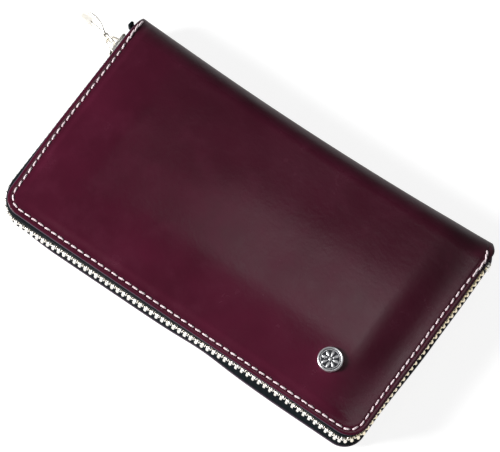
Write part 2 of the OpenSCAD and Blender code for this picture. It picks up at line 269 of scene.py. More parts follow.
def leather(name, colour, deep, light, roughness, coat):
    """Smooth polished calf: fine pores, faint wrinkles, uneven dye and polish, and painted shade towards its
    right end and its spine.
    """
    finish = Finish(name, colour, roughness, Coat_Weight=coat, Coat_Roughness=0.18, IOR=1.34)
    dye = finish.noise(22, 3, roughness=0.6)
    cloud = finish.noise(75, 4, roughness=0.65)
    tone = finish.blend(finish.spread(dye, 0.32, 0.68, 0, 1), deep, colour)
    # painted shade: the colour deepens towards the right end, whose slope faces away from the key light, and
    # towards the spine, which curves away from it
    painted_shade = finish.spread(finish.axis(0), *PAINTED_SHADE_ACROSS, 0, 0.35)
    painted_shade = painted_shade + finish.spread(finish.axis(1), *PAINTED_SHADE_UP, 0, 0.36)
    tone = finish.blend(painted_shade, tone, tuple(0.6 * c for c in deep))
    dull = finish.spread(finish.axis(1), *DULL_UP, 0, 0.28)
    finish.set("Base Color", finish.blend(finish.spread(cloud, 0.5, 0.85, 0, 0.55), tone, light))
    clouded = finish.spread(cloud + dye * 0.5, 0.5, 1.0, roughness - 0.05, roughness + 0.07)
    finish.set("Roughness", dull + clouded)
    pebble = finish.cells(900, "SMOOTH_F1")
    pores = finish.noise(2600, 3, roughness=0.6)
    wrinkles = finish.noise(260, 4, finish.stretched((1, 1.7, 1), 0.5), 0.6)
    soft = finish.bump(wrinkles, 0.05)
    finish.set("Normal", finish.bump(pebble * 0.6 + pores * 0.5, 0.028, soft))
    return finish.material


def edge_paint():
    """The dark paint on the cut edges of the leather."""
    finish = Finish("cut_edge", (0.045, 0.026, 0.042), 0.55, IOR=1.3)
    finish.set("Normal", finish.bump(finish.noise(900, 3, finish.stretched((1, 1, 6))), 0.05))
    return finish.material


def cloth(name, colour, light, per_metre, roughness):
    """Plain weave on the piece's own UV map, in metres, with a painted highlight on the raised tops of the
    weave.
    """
    finish = Finish(name, colour, roughness, IOR=1.25)
    finish.set("Specular IOR Level", 0.3)
    where = finish.place(uv=True)
    warp = finish.waves(per_metre, where, "X")
    weft = finish.waves(per_metre, where, "Y")
    rib = finish.waves(per_metre / 3, where, "DIAGONAL")
    weave = warp * weft + rib * 0.25
    fuzz = finish.noise(900, 3)
    # painted highlight: the raised tops of the weave take the light colour; the fuzz mixed in is random tone
    raised = finish.spread(weave * 0.7 + fuzz * 0.4, 0.25, 0.95, 0, 1)
    finish.set("Base Color", finish.blend(raised, colour, light))
    finish.set("Normal", finish.bump(weave + fuzz * 0.25, 0.09))
    return finish.material


def thread(name, colour, shade):
    """Twisted waxed thread: the UV map runs along it and round it. The shade colour paints both its soiled
    patches and painted shade in the grooves of its twist.
    """
    finish = Finish(name, colour, 0.45, Sheen_Weight=0.2, IOR=1.45)
    twist = finish.waves(5.5, finish.stretched((1, 0.55, 1), 0.62, uv=True), "X")
    soil = finish.noise(160, 2)
    base = finish.blend(finish.spread(soil, 0.4, 0.7, 0, 0.5), colour, shade)
    # painted shade: the grooves between the twisted strands take the shade colour, over the soiled patches
    finish.set("Base Color", finish.blend(finish.spread(twist, 0.0, 0.35, 0.4, 0), base, shade))
    finish.set("Normal", finish.bump(twist, 0.06))
    return finish.material


def metal(name, colour, worn, roughness, brushing=(1, 1, 1), warm_from=None):
    """Plated metal with fine rub marks and a duller skin in places. It is yellower beyond warm_from."""
    finish = Finish(name, colour, roughness, 1.0)
    rub = finish.noise(1500, 3, finish.stretched(brushing), 0.6)
    patches = finish.noise(120, 3)
    skin_colour = finish.blend(finish.spread(patches, 0.4, 0.7, 0, 0.6), colour, worn)
    if warm_from is not None:
        worn_through = finish.spread(finish.axis(0), warm_from, warm_from + 0.006, 0, 0.85)
        skin_colour = finish.blend(worn_through, skin_colour, (0.88, 0.76, 0.5))
    finish.set("Base Color", skin_colour)
    finish.set("Roughness", finish.spread(rub + patches, 0.6, 1.4, roughness - 0.05, roughness + 0.1))
    finish.set("Normal", finish.bump(rub, 0.012))
    return finish.material


def foam():
    """Soft grey foam with open cells, their pits painted dark as shade."""
    finish = Finish("padding_foam", (0.5, 0.5, 0.48), 0.9)
    cells = finish.cells(900)
    # painted shade: dark in the cell pits, light on the walls between them
    finish.set("Base Color", finish.blend(cells, (0.33, 0.33, 0.32), (0.6, 0.6, 0.57)))
    finish.set("Normal", finish.bump(cells, 0.3))
    return finish.material


def board():
    """Pressed board with fibres along it."""
    finish = Finish("pressed_board", (0.42, 0.31, 0.2), 0.85)
    fibres = finish.noise(420, 5, finish.stretched((1, 5, 1)), 0.7)
    finish.set("Base Color", finish.blend(fibres, (0.3, 0.2, 0.12), (0.52, 0.4, 0.27)))
    finish.set("Normal", finish.bump(fibres, 0.06))
    return finish.material


def floor_finish():
    """A pale floor that shines a little of its own light, so that shadows stay soft."""
    finish = Finish("pale_floor", (0.3, 0.3, 0.3), 0.9, Emission_Strength=0.86)
    finish.set("Emission Color", (1, 1, 1, 1))
    finish.set("Specular IOR Level", 0.0)
    return finish.material


OUTER = leather("polished_burgundy_leather", (0.062, 0.0052, 0.018), (0.043, 0.0036, 0.012),
                (0.074, 0.009, 0.025), 0.22, 0.06)
INNER = leather("inside_burgundy_leather", (0.07, 0.011, 0.022), (0.05, 0.007, 0.015),
                (0.085, 0.018, 0.03), 0.44, 0.05)
EDGE = edge_paint()
TAPE = cloth("black_zip_tape", (0.0015, 0.003, 0.004), (0.004, 0.008, 0.011), 520, 0.8)
LINING = cloth("black_lining", (0.012, 0.011, 0.013), (0.035, 0.032, 0.036), 640, 0.7)
CREAM = thread("cream_thread", (1.0, 0.87, 0.9), (0.86, 0.6, 0.65))
DARK = thread("burgundy_thread", (0.09, 0.012, 0.03), (0.03, 0.004, 0.01))
NICKEL = metal("bright_nickel", (0.95, 0.92, 0.85), (0.88, 0.84, 0.75), 0.3)
CHAIN = metal("chain_nickel", (0.9, 0.87, 0.82), (0.8, 0.77, 0.7), 0.24, warm_from=0.088)
SATIN = metal("satin_nickel", (0.8, 0.78, 0.74), (0.7, 0.67, 0.6), 0.32, (1, 1, 8))
BADGE = metal("badge_silver", (0.95, 0.95, 0.96), (0.9, 0.9, 0.91), 0.34)
OXIDE = metal("darkened_metal", (0.05, 0.05, 0.06), (0.09, 0.09, 0.1), 0.42)
FOAM = foam()
BOARD = board()


# ---------- mesh tools ----------


SHARP = 0.95


def piece(name, bm, *materials):
    """A new object of the mesh, smooth but for its sharp edges, at the origin."""
    bm.normal_update()
    for edge in bm.edges:
        edge.smooth = edge.calc_face_angle(0) < SHARP
    mesh = bpy.data.meshes.new(name)
    bm.to_mesh(mesh)
    bm.free()
    mesh.polygons.foreach_set("use_smooth", [True] * len(mesh.polygons))
    for material in materials:
        mesh.materials.append(material)
    obj = bpy.data.objects.new(name, mesh)
    scene.collection.objects.link(obj)
    return obj


def stand_in(name, bm, materials, nodes, body=None):
    """A piece that replaces nodes of the frame and rides on a body, if it is given one."""
    obj = piece(name, bm, *materials)
    if nodes:
        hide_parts(*nodes)
    if body:
        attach(obj, body)
    return obj


def put(bm, matrix):
    """Moves a whole mesh, and gives it back."""
    bmesh.ops.transform(bm, matrix=matrix, verts=bm.verts)
    return bm


def at_mm(place, turn=None):
    """The matrix that puts a part made in millimetres at a place in millimetres, turned by turn."""
    moved = Matrix.Translation(place * MM)
    return (moved @ turn if turn else moved) @ Matrix.Scale(MM, 4)


def grid(columns, rows, shape, metres=(1.0, 1.0)):
    """A grid whose points go where shape(u, v) says, u and v from -1 to 1, with its UV map in metres."""
    bm = bmesh.new()
    bmesh.ops.create_grid(bm, x_segments=columns, y_segments=rows, size=1)
    uv = bm.loops.layers.uv.new("surface")
    for face in bm.faces:
        for loop in face.loops:
            flat = loop.vert.co
            loop[uv].uv = ((flat.x + 1) / 2 * metres[0], (flat.y + 1) / 2 * metres[1])
    for vert in bm.verts:
        vert.co = shape(vert.co.x, vert.co.y) * MM
    return bm


def face_way(bm, way):
    """Turns an open sheet so that its faces look along way(point)."""
    bm.normal_update()
    total = sum((f.normal.dot(way(f.calc_center_median())) * f.calc_area() for f in bm.faces), 0.0)
    if total < 0:
        bmesh.ops.reverse_faces(bm, faces=bm.faces[:])
        bm.normal_update()


def thicken(bm, thickness, rim_material=0):
    """Gives a sheet its thickness on its inner side. Faces at the rim take another material."""
    bm.normal_update()
    outer = set(bm.faces)
    inwards = {vert: vert.normal * -thickness * MM for vert in bm.verts}
    made = bmesh.ops.extrude_face_region(bm, geom=list(outer))["geom"]
    kept = outer | {f for f in made if isinstance(f, bmesh.types.BMFace)}
    for vert, by in inwards.items():
        vert.co += by
    for face in bm.faces:
        if face not in kept:
            face.material_index = rim_material
    bmesh.ops.recalc_face_normals(bm, faces=bm.faces)


def round_rims(bm, radius, where=lambda middle: True, segments=3):
    """Rounds the sharp edges of a mesh, where the edge's middle is one that where() picks."""
    bm.normal_update()
    sharp = [e for e in bm.edges if len(e.link_faces) == 2 and e.calc_face_angle(0) > 0.9
             and where((e.verts[0].co + e.verts[1].co) / 2 / MM)]
    bmesh.ops.bevel(bm, geom=sharp, offset=radius * MM, offset_type="OFFSET", affect="EDGES",
                    segments=segments, profile=0.5, material=-1, clamp_overlap=True)


def frame_at(place, along, up):
    """The matrix that puts a part, made round the origin in millimetres, at a place in metres."""
    along = along.normalized()
    up = (up - along * up.dot(along)).normalized()
    turn = Matrix((along, up.cross(along), up)).transposed().to_4x4()
    return Matrix.Translation(place * MM) @ turn @ Matrix.Scale(MM, 4)


def add_copies(bm, part, matrices):
    """Puts a copy of the mesh part into bm at each matrix."""
    for matrix in matrices:
        before = len(bm.verts)
        bm.from_mesh(part)
        bm.verts.ensure_lookup_table()
        bmesh.ops.transform(bm, matrix=matrix, verts=bm.verts[before:])


def mesh_of(bm):
    """The finished mesh of a part that is copied."""
    mesh = bpy.data.meshes.new("part")
    bm.to_mesh(mesh)
    bm.free()
    return mesh


def bar(size, radius=0.2, segments=2, cuts=0):
    """A block with rounded edges, in millimetres round the origin."""
    bm = bmesh.new()
    bmesh.ops.create_cube(bm, size=1)
    bmesh.ops.scale(bm, vec=size, verts=bm.verts)
    if cuts:
        long_edges = [e for e in bm.edges if abs(e.verts[0].co.z - e.verts[1].co.z) > size[2] / 2]
        bmesh.ops.subdivide_edges(bm, edges=long_edges, cuts=cuts)
    edges = [e for e in bm.edges if e.calc_face_angle(0) > 0.5]
    bmesh.ops.bevel(bm, geom=edges, offset=radius, offset_type="OFFSET", affect="EDGES",
                    segments=segments, profile=0.5, material=-1, clamp_overlap=True)
    return bm


def tube(points, radius, sides=8, closed=False, rounded_ends=False):
    """A round wire along a line of points, in millimetres."""
    count = len(points)
    last = count if closed else count - 1
    bm = bmesh.new()
    bmesh.ops.create_grid(bm, x_segments=last, y_segments=sides, size=1)
    uv = bm.loops.layers.uv.new("surface")
    for face in bm.faces:
        for loop in face.loops:
            flat = loop.vert.co
            loop[uv].uv = ((flat.x + 1) / 2 * last, (flat.y + 1) / 2)
    for vert in bm.verts:
        i = round((vert.co.x + 1) / 2 * last)
        angle = (vert.co.y + 1) * math.pi
        here = points[i % count]
        ahead = points[(i + 1) % count] if closed or i < count - 1 else here
        behind = points[i - 1] if closed or i > 0 else here
        along = (ahead - behind).normalized()
        across = UP.cross(along)
        across = across.normalized() if across.length > 0.05 else Vector((1, 0, 0))
        around = along.cross(across)
        thick = radius
        if rounded_ends and not closed:
            thick *= math.sqrt(max(0.06, 1 - (2 * i / last - 1) ** 6))
        vert.co = here + (across * math.cos(angle) + around * math.sin(angle)) * thick
    bmesh.ops.remove_doubles(bm, verts=bm.verts, dist=radius * 0.02)
    if not closed:
        bmesh.ops.holes_fill(bm, edges=[e for e in bm.edges if e.is_boundary], sides=0)
    bmesh.ops.recalc_face_normals(bm, faces=bm.faces)
    return bm


def lathe(profile, steps=48, ring=False):
    """A turned part about the z axis, from points (radius, height): from axis to axis, or a closed ring."""
    bm = bmesh.new()
    verts = [bm.verts.new((r, 0, z)) for r, z in profile]
    edges = [bm.edges.new(pair) for pair in zip(verts, verts[1:])]
    if ring:
        edges.append(bm.edges.new((verts[-1], verts[0])))
    bmesh.ops.spin(bm, geom=verts + edges, cent=(0, 0, 0), axis=(0, 0, 1), angle=2 * math.pi,
                   steps=steps, use_merge=True, use_duplicate=False)
    bmesh.ops.remove_doubles(bm, verts=bm.verts, dist=1e-4)
    bmesh.ops.recalc_face_normals(bm, faces=bm.faces)
    return bm


def plate(outline, thickness, rounding, holes=()):
    """A flat plate with rounded edges from its outline and holes, as a mesh in millimetres."""
    curve = bpy.data.curves.new("plate", "CURVE")
    curve.dimensions = "2D"
    curve.fill_mode = "BOTH"
    curve.extrude = thickness / 2 - rounding
    curve.bevel_depth = rounding
    curve.bevel_resolution = 2
    curve.offset = -rounding
    for points in (outline, *holes):
        spline = curve.splines.new("POLY")
        spline.points.add(len(points) - 1)
        for point, (x, y) in zip(spline.points, points):
            point.co = (x, y, 0, 1)
        spline.use_cyclic_u = True
    obj = bpy.data.objects.new("plate", curve)
    scene.collection.objects.link(obj)
    bpy.context.view_layer.update()
    mesh = bpy.data.meshes.new_from_object(obj.evaluated_get(bpy.context.evaluated_depsgraph_get()))
    bpy.data.objects.remove(obj)
    bm = bmesh.new()
    bm.from_mesh(mesh)
    bmesh.ops.remove_doubles(bm, verts=bm.verts, dist=1e-4)
    bmesh.ops.recalc_face_normals(bm, faces=bm.faces)
    return bm


def arc_points(cx, cy, r, start, end, steps):
    """Points on an arc, with its angles in degrees."""
    turns = [math.radians(start + (end - start) * i / steps) for i in range(steps + 1)]
    return [(cx + r * math.cos(a), cy + r * math.sin(a)) for a in turns]


# ---------- the shape of the covers ----------


def edge_distance(x, y):
    """Distance to the cut edge, on the cover laid flat."""
    dx, dy = HALF_L - abs(x), y - LOW_Y
    if dx < CORNER_R and dy < CORNER_R:
        return CORNER_R - math.hypot(CORNER_R - dx, CORNER_R - dy)
    return min(dx, dy)


def puff(x, y):
    """0 on the stitched border, 1 on the padded middle."""
    from_end, from_front = HALF_L - abs(x) - BORDER_W, y - LOW_Y - BORDER_W
    along = smooth(from_end / RIGHT_SLOPE) if x > 0 else swelling(from_end / LEFT_SLOPE)
    return along * swelling(from_front / FRONT_SLOPE)


def settle(x, y, turned, side):
    """How far a point of the cover has moved in x and y as the wallet settled out of true."""
    waist = WAIST_MIDDLE + (WAIST_ENDS - WAIST_MIDDLE) * (x / HALF_L) ** 2
    dy = waist * smooth((y - 12) / 36)
    out = EDGE_OUT[side] * smooth((x + 90) / 26) + EDGE_OUT_RIGHT[side] * smooth((x - 10) / 50)
    out -= EDGE_DIP[side] * bell(x, DIP_X, DIP_WIDTH)
    dy -= out * smooth((-16 - y) / 38)
    end = 1 if x > 0 else -1
    dx = -end * NOTCH[end] * smooth((abs(x) - 55) / 40) * smooth((turned - 0.45) / 0.95)
    return dx + left_end(x, y) + right_end(x, y, side), dy


def right_end(x, y, side):
    """How far the right end has turned: out near the spine, in at its front corner."""
    turn = RIGHT_OUT * smooth((y - 2) / 30) - RIGHT_DRAWN_IN[side] * smooth((5 - y) / 45)
    return turn * smooth((x - 55) / 35)


def left_end(x, y):
    """How far the left end is drawn in towards its front corner."""
    return LEFT_DRAWN_IN * smooth((-30 - x) / 60) * smooth((-8 - y) / 40)


def skin(x, y, side, depth=0.0):
    """A point of a cover's outer face. Beyond the start of the spine, y goes on along its arc."""
    turned = max(0.0, (y - SPINE_Y) / SPINE_R)
    soft = puff(x, min(y, SPINE_Y))
    height = BORDER_Z - MID_Z + RISE * soft
    uneven = noise.noise(Vector((x / 38, y / 30, side * 9.0)))
    if side == FRONT:
        crown = CROWN * (1 - (x / HALF_L) ** 2) * (1 - ((min(y, SPINE_Y) + 4) / 46) ** 2)
        height += soft * (crown + UNEVEN * uneven - SPINE_FALL * smooth((y - 8) / 40))
    else:
        height -= soft * 0.12 * (1 + uneven)
    d = edge_distance(x, min(y, SPINE_Y))
    height -= GROOVE * bell(d, STITCH_INSET, 0.6)
    height -= 0.35 * max(0.0, 1 - d / 1.1) ** 2
    height -= depth
    dx, dy = settle(x, y, turned, side)
    if turned:
        radius = SPINE_R - depth
        y = SPINE_Y + radius * math.sin(turned)
        height *= math.cos(turned)
    return Vector((x + dx, y + dy, MID_Z + side * height))


def eased(t, edge_share=0.4):
    """Keeps -1, 0 and 1 where they are and crowds the points towards both ends."""
    return edge_share * t + (1 - edge_share) * math.sin(t * math.pi / 2)


def round_corner(x, y, half, low, r):
    """Moves a point near a square corner, at half and low, to where it lies in a corner of radius r."""
    a, b = (abs(x) - (half - r)) / r, (low + r - y) / r
    if a > 0 and b > 0:
        x = math.copysign(half - r + r * a * math.sqrt(1 - b * b / 2), x)
        y = low + r - r * b * math.sqrt(1 - a * a / 2)
    return x, y


def laid_flat(u, v, inset=0.0, back_y=SPINE_DEV):
    """The place on the flat cover of a point of its grid: v is -1 at the zip edge and 1 at back_y."""
    half, low = HALF_L - inset, LOW_Y + inset
    x = half * eased(u)
    t = (v + 1) / 2
    y = low + (back_y - low) * (0.4 * t + 0.6 * (1 - math.cos(t * math.pi / 2)))
    return round_corner(x, y, half, low, max(CORNER_R - inset, 2))


def outwards(point):
    """The way out of the wallet at a point of one of its covers, in metres."""
    middle = Vector((point.x, min(point.y, SPINE_Y * MM), MID_Z * MM))
    way = point - middle
    return way.normalized() if way.length > 1e-6 else UP


def fold_over(obj, side, flat=False):
    """Bakes a piece of a cover into its place; it is not bent with the spine. flat is for what stands on the
    cover's edge; the end it picks is not used.
    """
    cover_end = Vector((0, SPINE_Y + 1, MID_Z)) if flat else Vector((0, SPINE_Y, MID_Z + side * SPINE_R))
    bend_between(obj, side)


def bend_between(obj, side):
    """Bakes a piece's place into its mesh, the same for both sides; it is not blended from the spine to its
    cover.
    """
    if side == FRONT:
        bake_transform(obj)
    else:
        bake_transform(obj)


def is_cut(middle):
    """Whether a place on the rim is cut edge. The middle of the spine, where the two sheets meet, isn't."""
    return abs(middle.z - MID_Z) > 1.5 or middle.y < SPINE_Y


def cover(side):
    """One cover with its half of the spine, cut from one sheet of leather."""
    bm = grid(216, 140, lambda u, v: skin(*laid_flat(u, v), side))
    for face in bm.faces:
        if any(e.is_boundary for e in face.edges) and is_cut(face.calc_center_median() / MM):
            face.material_index = 1
    face_way(bm, outwards)
    thicken(bm, LEATHER_T, rim_material=1)
    round_rims(bm, RIM_R, is_cut)
    nodes = ("front_cover_leather", "spine_leather") if side == FRONT else ("back_cover_leather",)
    obj = stand_in(f"{SIDE[side]}_leather", bm, (OUTER, EDGE), nodes)
    fold_over(obj, side)


PADDING_INSET = BORDER_W + 4
BOARD_ROOM = 0.4


def padding(side):
    """The foam under the leather of one cover."""
    floor_z = BORDER_Z - MID_Z - LEATHER_T + BOARD_ROOM

    def upper(u, v):
        x, y = laid_flat(u, v, PADDING_INSET, SPINE_Y - 1)
        point = skin(x, y, side)
        point.z = MID_Z + side * max(floor_z + 0.1, abs(point.z - MID_Z) - LEATHER_T - 0.15)
        return point

    bm = grid(90, 44, upper)
    face_way(bm, outwards)
    made = bmesh.ops.extrude_face_region(bm, geom=bm.faces[:])["geom"]
    for vert in (g for g in made if isinstance(g, bmesh.types.BMVert)):
        vert.co.z = (MID_Z + side * floor_z) * MM
    bmesh.ops.recalc_face_normals(bm, faces=bm.faces)
    nodes = (f"{SIDE[side]}_foam",)
    obj = stand_in(f"{SIDE[side]}_padding", bm, (FOAM,), nodes, COVER[side])


# ---------- lines round the zip edge ----------


def edge_line(s, grow, end_y):
    """The point and the way along, at s on the line that runs round the zip edge from end_y to end_y."""
    r = CORNER_R + grow
    cx, cy = HALF_L - CORNER_R, LOW_Y + CORNER_R
    straight, quarter, front = end_y - cy, math.pi * r / 2, 2 * cx
    if s < straight:
        return Vector((-HALF_L - grow, end_y - s, 0)), Vector((0, -1, 0))
    s -= straight
    a = s / r
    if s < quarter:
        place = Vector((-cx - r * math.cos(a), cy - r * math.sin(a), 0))
        return place, Vector((math.sin(a), -math.cos(a), 0))
    s -= quarter
    if s < front:
        return Vector((-cx + s, LOW_Y - grow, 0)), Vector((1, 0, 0))
    s -= front
    a = s / r
    if s < quarter:
        return Vector((cx + r * math.sin(a), cy - r * math.cos(a), 0)), Vector((math.cos(a), math.sin(a), 0))
    return Vector((HALF_L + grow, cy + s - quarter, 0)), Vector((0, 1, 0))


def edge_length(grow, end_y):
    """The length of that line."""
    cx, cy = HALF_L - CORNER_R, LOW_Y + CORNER_R
    return 2 * (end_y - cy) + math.pi * (CORNER_R + grow) + 2 * cx


def chain_shift(x, y):
    """How far the chain has moved: in along the front and the right, and up midway along the front."""
    front = smooth((-30 - y) / 16)
    midway = bell(x, TUCK_X, TUCK_WIDTH) * front
    tuck = CHAIN_TUCK * midway + CHAIN_TUCK_ALL * smooth((x + 80) / 24) * smooth((90 - x) / 24) * front
    right = smooth((x - 78) / 17) * (RIGHT_TUCK + RIGHT_TUCK_FRONT * smooth((44 - y) / 80))
    left = left_end(x, y) * smooth((-41 - y) / 9)
    return Vector((left - right, tuck, CHAIN_LIFT * midway))


# ---------- stitching ----------


def stitch_mesh(length=STITCH_L, radius=THREAD_R):
    """One stitch: a short arch of thread whose ends go down into the leather."""
    sag = 0.42 * radius / THREAD_R
    bend = (length ** 2 / 4 + sag ** 2) / (2 * sag)
    reach = math.asin(min(0.99, length / 2 / bend))
    turns = [-reach * 1.12 + reach * 2.24 * i / 6 for i in range(7)]
    points = [Vector((bend * math.sin(a), 0, bend * (math.cos(a) - 1) + radius * 0.55)) for a in turns]
    return mesh_of(tube(points, radius, 7, rounded_ends=True))


def bend_in(x, y):
    """How far the stitch line strays as it nears the spine."""
    if x < 0:
        return -1.1 * smooth((y - 30) / 18)
    return 1.5 * bell(y, 41, 8) - 2.2 * smooth((y - 44) / 7)


def stitch_point(s, end_y):
    """The place on the flat cover where a stitch lies, at s along the border."""
    flat, _ = edge_line(s, -STITCH_INSET, end_y)
    flat.x += bend_in(flat.x, flat.y)
    return flat


def stitch_frame(s, total, end_y, side):
    """The matrix of the stitch at s: along the border and square to the leather."""
    flat = stitch_point(s, end_y)
    ahead, behind = stitch_point(min(s + 0.5, total), end_y), stitch_point(max(s - 0.5, 0), end_y)
    here = skin(flat.x, flat.y, side)
    along = skin(ahead.x, ahead.y, side) - skin(behind.x, behind.y, side)
    inner = skin(flat.x * 0.99, flat.y, side) - here
    up = along.cross(inner)
    up = up if up.z * side > 0 else -up
    if abs(flat.y - (LOW_Y + STITCH_INSET)) < 0.1:
        up = UP * side
    return frame_at(here, along, up)


def stitching(side):
    """The thread round the border, with three back stitches at both ends."""
    end_y = SPINE_Y + 10.5
    total = edge_length(-STITCH_INSET, end_y)
    count = int(total / STITCH_PITCH)
    step = total / count
    slots = [(i + 0.5) * step for i in range(count - 1)]
    slots += [step * (i + 1) for i in range(3)] + [total - step * (i + 2) for i in range(3)]
    matrices = []
    for number, s in enumerate(slots):
        slant = math.radians(5 + 3 * math.sin(number * 2.3))
        lean = Matrix.Rotation(slant * side, 4, "Z")
        if number >= count - 1:
            lean = Matrix.Translation((0, 0.3, 0.12)) @ lean
        matrices.append(stitch_frame(s, total, end_y, side) @ lean)
    bm = bmesh.new()
    add_copies(bm, stitch_mesh(), matrices)
    obj = stand_in(f"{SIDE[side]}_thread", bm, (CREAM,), (f"{SIDE[side]}_stitching",))
    fold_over(obj, side)
    # dark cups between the stitches: painted shade of the needle holes
    holes(side, [s + step / 2 for s in slots[:count - 2]], end_y)


def holes(side, places, end_y):
    """Painted shade of the needle holes between the stitches: shallow cups in the leather, coloured with the
    dark burgundy thread.
    """
    cup = mesh_of(lathe([(0, -0.05), (0.3, -0.02), (0.46, 0.05), (0.5, 0.02), (0.5, -0.3), (0, -0.3)], 8))
    matrices = []
    for s in places:
        flat, way = edge_line(s, -STITCH_INSET, end_y)
        here = skin(flat.x, flat.y, side)
        beside = skin(flat.x + way.x * 0.5, flat.y + way.y * 0.5, side) - here
        across = skin(flat.x * 0.99, flat.y * 0.99, side) - here
        up = beside.cross(across)
        up = up if up.z * side > 0 else -up
        if flat.y < SPINE_Y:
            up = UP * side
        matrices.append(frame_at(here, beside, up))
    bm = bmesh.new()
    add_copies(bm, cup, matrices)
    # the cups' dark colour stands in for the shade inside the needle holes
    obj = stand_in(f"{SIDE[side]}_needle_holes", bm, (DARK,), ())
    fold_over(obj, side)


# ---------- the main zip ----------

# across the tape: how far out from the cut edge, and how high from the middle of the wallet
TAPE_PROFILE = [(-6.5, 6.95), (-3, 6.95), (-1.2, 6.9), (-0.1, 6.7), (0.55, 6.1), (0.8, 5.2),
                (0.82, 4.2), (0.72, 3.0), (0.62, 2.2), (0.6, 1.7)]


def zip_tape(side):
    """The woven tape: flat under the border, round its edge and up to the chain."""
    total = edge_length(ZIP_OUT, SEAM_END)
    rows = len(TAPE_PROFILE) - 1

    def shape(u, v):
        out, height = TAPE_PROFILE[round((v + 1) / 2 * rows)]
        place, _ = edge_line((u + 1) / 2 * edge_length(out, SEAM_END), out, SEAM_END)
        near_chain = smooth((6.9 - height) / 1.6)
        shift = chain_shift(place.x, place.y) * near_chain
        _, dy = settle(place.x, min(place.y, LOW_Y + 4), 0.0, side)
        if place.y > LOW_Y + CORNER_R + 1:
            dy = 0.0
        turn = left_end(place.x, place.y) + right_end(place.x, place.y, side)
        bow = Vector((turn, dy, 0)) * (1 - near_chain)
        return place + bow + shift + Vector((0, 0, MID_Z + side * height))

    flat = (total * MM, TAPE_W * MM)
    bm = grid(300, rows, shape, flat)
    face_way(bm, lambda p: Vector((p.x, p.y + 0.004, 0)).normalized())
    thicken(bm, TAPE_T)
    obj = stand_in(f"{SIDE[side]}_tape", bm, (TAPE,), (f"{SIDE[side]}_zip_tape",))
    fold_over(obj, side, flat=True)


# the teeth: depth out from the case, thickness along the chain, and the height of the legs' and heads' ends
TOOTH_D = 2.5
TOOTH_T = 1.32
TOOTH_FAR = 2.95
HEAD_CLOSED = -0.92
HEAD_PARTED = 0.45


def tooth_mesh(depth, thick, far, near):
    """One tooth clamped on the tape: stout legs at far, and a slim head, set back, at near."""
    long = far - near
    bm = bar((depth, thick, long), min(depth, thick) * 0.26, 1, cuts=3)
    for vert in bm.verts:
        t = vert.co.z / long + 0.5
        leg = smooth((t - 0.36) / 0.28)
        vert.co.y *= 0.84 + 0.34 * leg - 0.14 * smooth((t - 0.8) / 0.2) - 0.1 * bell(t, 0.4, 0.09)
        vert.co.x *= 0.8 + 0.2 * leg
        vert.co.x += (leg - 1) * depth * 0.1
        vert.co.z += near + long / 2
    return mesh_of(bm)


def tooth_frame(place, out, way, side):
    """The matrix that stands a tooth in its row: its depth along out, its thickness along way."""
    turn = Matrix((out, way, UP)).transposed().to_4x4()
    return Matrix.Translation(place * MM) @ turn @ Matrix.Diagonal((MM, MM, side * MM, 1))


def zip_teeth(side, first):
    """One row of the main chain. Its heads reach past the middle, between those of the other row."""
    total = edge_length(ZIP_OUT, TEETH_END)
    closed = tooth_mesh(TOOTH_D, TOOTH_T, TOOTH_FAR, HEAD_CLOSED)
    parted = tooth_mesh(TOOTH_D, TOOTH_T, TOOTH_FAR, HEAD_PARTED)
    bm = bmesh.new()
    s = first
    while s <= total:
        place, way = edge_line(s, ZIP_OUT, TEETH_END)
        place += chain_shift(place.x, place.y) + UP * MID_Z
        in_slider = s < TEETH_END - slider_low.y + 1.5
        frame_of_tooth = tooth_frame(place, Vector((way.y, -way.x, 0)), way, side)
        add_copies(bm, parted if in_slider else closed, [frame_of_tooth])
        s += TOOTH_PITCH
    bmesh.ops.recalc_face_normals(bm, faces=bm.faces)
    stand_in(f"{SIDE[side]}_teeth", bm, (CHAIN,), (f"{SIDE[side]}_zip_teeth",), COVER[side])


def tape_end(side):
    """The end of a tape, folded out beside the slider and sewn down."""
    low, high = box_mm(f"{SIDE[side]}_tape_end")
    middle, size = (low + high) / 2, high - low
    bm = bar((size.x, size.y + 1, size.z + 1), 0.6, 3)
    for vert in bm.verts:
        vert.co.x *= 1 - 0.25 * (vert.co.y / size.y + 0.5)
        vert.co.x -= 0.3 * math.cos(vert.co.y * 1.2)
    put(bm, at_mm(middle))
    uv = bm.loops.layers.uv.new("surface")
    for face in bm.faces:
        for loop in face.loops:
            loop[uv].uv = (loop.vert.co.y, loop.vert.co.z)
    obj = stand_in(f"{SIDE[side]}_tape_fold", bm, (TAPE,), (f"{SIDE[side]}_tape_end",))
    fold_over(obj, side, flat=True)


def stop(node, body, radius):
    """A stop of the main zip: a small metal block with its edges rounded."""
    low, high = box_mm(node)
    bm = put(bar(high - low, radius, 3), at_mm((low + high) / 2))
    stand_in(f"{node}_block", bm, (NICKEL,), (node,), body)


# ---------- the main slider and its pull ----------

HINGE = Vector((slider_low.x - 1.0, (slider_low.y + slider_high.y) / 2, MID_Z))
LINK_L = 5.2
LINK_HALF_W = 2.8
WIRE_R = 0.48
TAB_L = 16.4
TAB_BOW = 1.35
PULL_TURN = math.radians(10)
PULL_TWIST = math.radians(36)
PULL_WAY = Vector((-math.cos(PULL_TURN), math.sin(PULL_TURN), 0))


def shield(half_l, narrow, wide):
    """The plan of a slider: narrow where the chain is closed, wide and rounded where it parts."""
    right = arc_points(half_l - 1.6, wide - 1.6, 1.6, 0, 90, 6)
    right += [(half_l * 0.3, wide), (0.0, wide * 0.97), (-half_l * 0.35, narrow * 1.06)]
    right += arc_points(-half_l + 1.0, narrow - 1.0, 1.0, 90, 180, 5)
    return right + [(x, -y) for x, y in reversed(right)]


